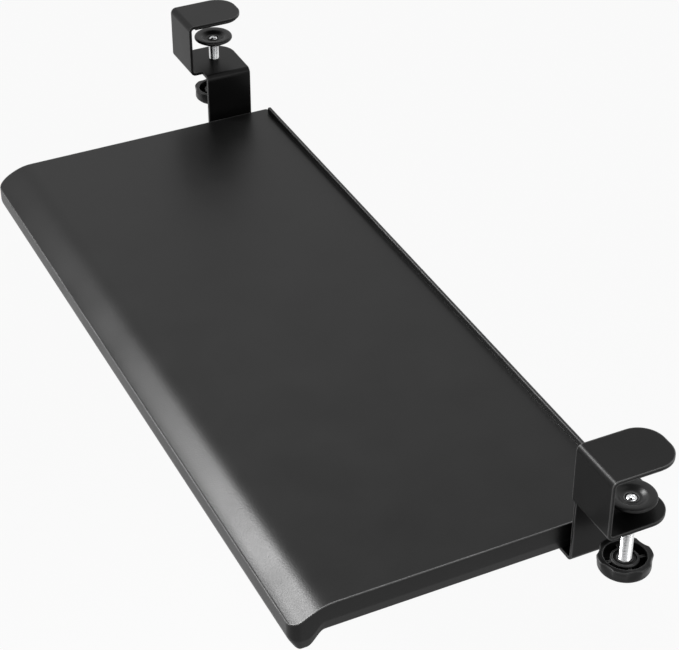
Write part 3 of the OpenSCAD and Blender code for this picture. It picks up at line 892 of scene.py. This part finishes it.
def pad_screw(name, body):
    """Pan-head screw with a cross recess."""
    low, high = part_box(name)
    centre = axis_of(name)
    head_r = (high.x - low.x) / 2
    seat = high.z - PAD_HEAD_H
    dome = seat + PAD_HEAD_SIDE
    profile = [(0, low.z), (PAD_SCREW_R - PAD_SCREW_TIP_W, low.z), (PAD_SCREW_R, low.z + PAD_SCREW_TIP_H)]
    profile += [(PAD_SCREW_R, seat), (head_r - PAD_HEAD_EDGE, seat)]
    profile += [(head_r, seat + PAD_HEAD_EDGE), (head_r, dome)]
    profile += [(head_r * math.cos(a), mix(dome, high.z, math.sin(a))) for a in PAD_HEAD_TURNS]
    profile.append((0, high.z))
    head = bmesh.new()
    lathe(head, profile, centre, steps=PAD_SCREW_STEPS, closed=False)
    recess = bmesh.new()
    prism(recess, [cross_loop(centre, RECESS_REACH * head_r)], high.z - RECESS_D, high.z + CUT)
    made = combined(head, recess, "DIFFERENCE")
    return piece(name + "_head", made, body, "zinc_steel", [name], sharp=40)


# Knobs
def knob_radius(angle, radius):
    """Distance from the knob's axis to its lobed edge."""
    step = 2 * math.pi / KNOB_LOBES
    off = (angle % step) - step / 2
    far = radius + KNOB_SCALLOP_R - KNOB_SCALLOP
    inside = KNOB_SCALLOP_R ** 2 - (far * math.sin(off)) ** 2
    if inside <= 0:
        return radius
    return min(radius, far * math.cos(off) - math.sqrt(inside))


def knob_rim(centre, radius, z0, z1, turn):
    """Lobed ring with soft edges."""
    inner = radius - KNOB_RIM
    low_r = radius - KNOB_DRAFT
    side_low = z0 + KNOB_FOOT_R
    side_top = z1 - KNOB_SOFT
    shares = [i / KNOB_SIDE_ROWS for i in range(1, KNOB_SIDE_ROWS)]
    bm = bmesh.new()
    rows = []
    for i in range(KNOB_STEPS):
        angle = 2 * math.pi * i / KNOB_STEPS
        r = knob_radius(angle - turn, radius)
        section = [(inner, z0 + KNOB_LIP), (inner + KNOB_LIP, z0)]
        section += arc(low_r - KNOB_FOOT_R, side_low, KNOB_FOOT_R, 270, 360, KNOB_FOOT_STEPS)
        section += [(mix(low_r, r, smooth(t)), mix(side_low, side_top, t)) for t in shares]
        section += arc(r - KNOB_SOFT, side_top, KNOB_SOFT, 0, 90, KNOB_SOFT_STEPS)
        section += [(inner + KNOB_LIP, z1), (inner, z1 - KNOB_LIP)]
        row = [(centre[0] + q * math.cos(angle), centre[1] + q * math.sin(angle), z) for q, z in section]
        rows.append([bm.verts.new(p) for p in row])
    strip(bm, rows + rows[:1], closed=True)
    return bm


def knob_hub(centre, radius, z0, top):
    """Closed floor of a knob and the hub on it, with a ring groove in the hub's top."""
    floor_r = radius - KNOB_RIM / 2
    floor_z = z0 + KNOB_FLOOR_T
    ring_r = KNOB_HUB_R - HUB_RING_W
    groove_z = top - HUB_GROOVE_D
    collar_r = KNOB_BORE_R + HUB_COLLAR_W
    collar_z = top - HUB_COLLAR_SINK
    profile = [(KNOB_BORE_R, z0), (floor_r, z0), (floor_r, floor_z), (KNOB_HUB_R + KNOB_SOFT, floor_z)]
    profile += [(KNOB_HUB_R, floor_z + KNOB_SOFT), (KNOB_HUB_R, top - KNOB_SOFT)]
    profile += [(KNOB_HUB_R - KNOB_SOFT, top), (ring_r, top), (ring_r - HUB_GROOVE_SLANT, groove_z)]
    profile += [(collar_r + HUB_GROOVE_SLANT, groove_z), (collar_r, collar_z), (KNOB_BORE_R, collar_z)]
    bm = bmesh.new()
    lathe(bm, profile, centre)
    return bm


def knob_spoke(centre, radius, angle, z0, z1):
    """Thin upright wall from a knob's hub to its rim."""
    out = Vector((math.cos(angle), math.sin(angle)))
    across = Vector((-math.sin(angle), math.cos(angle)))
    near = KNOB_HUB_R - SPOKE_BITE
    far = radius - KNOB_RIM + SPOKE_BITE
    corners = [(near, -1), (far, -1), (far, 1), (near, 1)]
    loop = [tuple(Vector(centre) + out * d + across * s * SPOKE_W / 2) for d, s in corners]
    bm = bmesh.new()
    prism(bm, [loop], z0, z1)
    return bm


def knob(name, body, turn):
    """Hand wheel: lobed rim, closed floor, hub with a ring groove, thin spokes and a nut seat below."""
    low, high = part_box(name)
    centre = axis_of(name)
    radius = (high.x - low.x) / 2
    hub = knob_hub(centre, radius, low.z, high.z - HUB_SINK)
    for i in range(KNOB_SPOKES):
        angle = turn + 2 * math.pi * i / KNOB_SPOKES
        hub = combined(hub, knob_spoke(centre, radius, angle, low.z, high.z - SPOKE_SINK), "UNION")
    made = combined(knob_rim(centre, radius, low.z, high.z, turn), hub, "UNION")
    seat = bmesh.new()
    prism(seat, [hexagon(*centre, KNOB_SEAT_AF, turn)], low.z - CUT, low.z + KNOB_SEAT_H)
    made = combined(made, seat, "DIFFERENCE")
    return piece(name + "_wheel", made, body, "knob_plastic", [name], sharp=30)


def rivets(name):
    """Domed rivets through each runner and its flange."""
    low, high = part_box(name)
    head_r = (high.x - low.x) / 2
    cx = (low.x + high.x) / 2
    seat_low = low.z + RIVET_HEAD_H
    seat_high = high.z - RIVET_HEAD_H
    dome = [(head_r * math.sin(a), RIVET_HEAD_H * (1 - math.cos(a))) for a in RIVET_TURNS]
    profile = [(r, low.z + rise) for r, rise in dome]
    profile += [(head_r, seat_low), (RIVET_R, seat_low), (RIVET_R, seat_high), (head_r, seat_high)]
    profile += [(r, high.z - rise) for r, rise in reversed(dome)]
    bm = bmesh.new()
    for y in (low.y + head_r, high.y - head_r):
        lathe(bm, profile, (cx, y), steps=RIVET_STEPS, closed=False)
    return piece(name + "_dome", bm, "brackets", "zinc_steel", [name], sharp=40)


# Dressing of the whole object
for part in frame["record"]["subparts"]:
    node = frame["nodes"][part["node"]]
    node.data.materials.clear()
    node.data.materials.append(MATERIALS[part["material_slot"]])

tray_shell()
tray_ribs()
tray_bosses()
for label, side in SIDES.items():
    screw = label + "_screw"
    clamp_bracket(label + "_clamp_bracket", side)
    jaw_pad(label + "_jaw_pad", side)
    hex_nut(label + "_weld_nut", "brackets", "coated_steel", WELD_NUT_AF)
    rivets(label + "_runner_rivets")
    swivel_pad(label + "_swivel_pad", label + "_pad")
    clamp_screw(label + "_clamp_screw", screw)
    pad_screw(label + "_pad_screw", screw)
    knob(label + "_knob", screw, side * KNOB_TURN)
    hex_nut(label + "_knob_nut", screw, "zinc_steel", KNOB_NUT_AF, side * KNOB_TURN)


# Stage
FLOOR_DROP = 0.35
FLOOR_SIZE = 40
FLOOR_WHITE = 0.94
PAPER_GREY = 0.6
PAPER_ROUGH = 0.9
PAPER_SHINE = 0.1
SKY_EDGE = 0.2
SKY_LOW = 0.12
SKY_HIGH = 0.45
SKY_TOWARDS = (-0.5, 0.6, 0.6)
LIGHTS = {
    "key": dict(
        place=(-0.87, -0.84, 1.27), target=(0.24, -0.12, 0), size=(0.58, 0.44), power=3.3, roll=-50, beam=44),
    "edge": dict(place=(1.48, 0.65, 1.07), target=(0.34, 0, 0), size=(0.9, 0.7), power=5),
}
CAMERA_AZIMUTH = math.radians(64.09)
CAMERA_ELEVATION = math.radians(35.34)
CAMERA_TARGET = (34.1 * MM, 43.2 * MM, 0)
CAMERA_DISTANCE = 1.6658
CAMERA_SENSOR = 36
CAMERA_LENS = 103.1


def larger(tree, a, b):
    """The larger of two values."""
    node = tree.nodes.new("ShaderNodeMath")
    node.operation = "MAXIMUM"
    link(tree, a, node.inputs[0])
    link(tree, b, node.inputs[1])
    return node.outputs["Value"]


def seen_share(tree):
    """One where the camera looks, straight or by way of a shiny or clear surface, and zero elsewhere."""
    path = tree.nodes.new("ShaderNodeLightPath").outputs
    seen = larger(tree, path["Is Camera Ray"], path["Is Glossy Ray"])
    return larger(tree, seen, path["Is Transmission Ray"])


def brightened(tree, paper):
    """Paper mixed with plain white wherever it is seen, so that the ground reads white."""
    white = tree.nodes.new("ShaderNodeEmission")
    choice = tree.nodes.new("ShaderNodeMixShader")
    link(tree, spread(tree, seen_share(tree), 0, 1, 0, FLOOR_WHITE), choice.inputs["Fac"])
    link(tree, paper.outputs["BSDF"], choice.inputs[1])
    link(tree, white.outputs["Emission"], choice.inputs[2])
    return choice.outputs["Shader"]


def floor_paper():
    """Pale matt paper that is clear from below."""
    material = bpy.data.materials.new("floor")
    material.use_nodes = True
    tree = material.node_tree
    paper = tree.nodes["Principled BSDF"]
    paper.inputs["Base Color"].default_value = (*grey(PAPER_GREY), 1)
    paper.inputs["Roughness"].default_value = PAPER_ROUGH
    paper.inputs["Specular IOR Level"].default_value = PAPER_SHINE
    side = tree.nodes.new("ShaderNodeNewGeometry")
    clear = tree.nodes.new("ShaderNodeBsdfTransparent")
    choice = tree.nodes.new("ShaderNodeMixShader")
    link(tree, side.outputs["Backfacing"], choice.inputs["Fac"])
    link(tree, brightened(tree, paper), choice.inputs[1])
    link(tree, clear.outputs["BSDF"], choice.inputs[2])
    link(tree, choice.outputs["Shader"], tree.nodes["Material Output"].inputs["Surface"])
    return material


def floor():
    """Wide floor below the tray."""
    bm = bmesh.new()
    bmesh.ops.create_grid(bm, x_segments=1, y_segments=1, size=FLOOR_SIZE / 2)
    obj = as_object("floor", bm, recalc=False)
    obj.location.z = cad_low.z - FLOOR_DROP
    obj.data.materials.append(floor_paper())


def softbox(name, place, target, size, power, roll=0, beam=180):
    """Rectangular studio light with the width of its beam in degrees."""
    lamp = bpy.data.lights.new(name, "AREA")
    lamp.shape = "RECTANGLE"
    lamp.size, lamp.size_y = size
    lamp.energy = power
    lamp.spread = math.radians(beam)
    obj = bpy.data.objects.new(name, lamp)
    obj.location = place
    facing = (Vector(target) - Vector(place)).to_track_quat("-Z", "Y")
    obj.rotation_euler = (facing @ Quaternion((0, 0, 1), math.radians(roll))).to_euler()
    bpy.context.scene.collection.objects.link(obj)


def sky():
    """Soft surrounding light, brighter on the side that it faces, and plain white where it is seen."""
    world = bpy.data.worlds.new("studio")
    world.use_nodes = True
    tree = world.node_tree
    place = tree.nodes.new("ShaderNodeTexCoord")
    facing = tree.nodes.new("ShaderNodeVectorMath")
    facing.operation = "DOT_PRODUCT"
    facing.inputs[1].default_value = Vector(SKY_TOWARDS).normalized()
    link(tree, place.outputs["Generated"], facing.inputs[0])
    level = spread(tree, facing.outputs["Value"], SKY_EDGE, 1, SKY_LOW, SKY_HIGH)
    shade = tree.nodes["Background"]
    shade.inputs["Color"].default_value = (1, 1, 1, 1)
    link(tree, larger(tree, level, seen_share(tree)), shade.inputs["Strength"])
    bpy.context.scene.world = world


def camera():
    """View of the tray from its right end and a little above."""
    across = math.cos(CAMERA_ELEVATION)
    x = math.sin(CAMERA_AZIMUTH) * across
    y = -math.cos(CAMERA_AZIMUTH) * across
    back = Vector((x, y, math.sin(CAMERA_ELEVATION)))
    data = bpy.data.cameras.new("camera")
    data.sensor_width = CAMERA_SENSOR
    data.lens = CAMERA_LENS
    obj = bpy.data.objects.new("camera", data)
    obj.location = Vector(CAMERA_TARGET) + back * CAMERA_DISTANCE
    obj.rotation_euler = (-back).to_track_quat("-Z", "Y").to_euler()
    bpy.context.scene.collection.objects.link(obj)
    bpy.context.scene.camera = obj


floor()
for name, light in LIGHTS.items():
    softbox(name, **light)
sky()
camera()
bpy.context.scene.view_settings.view_transform = "Standard"
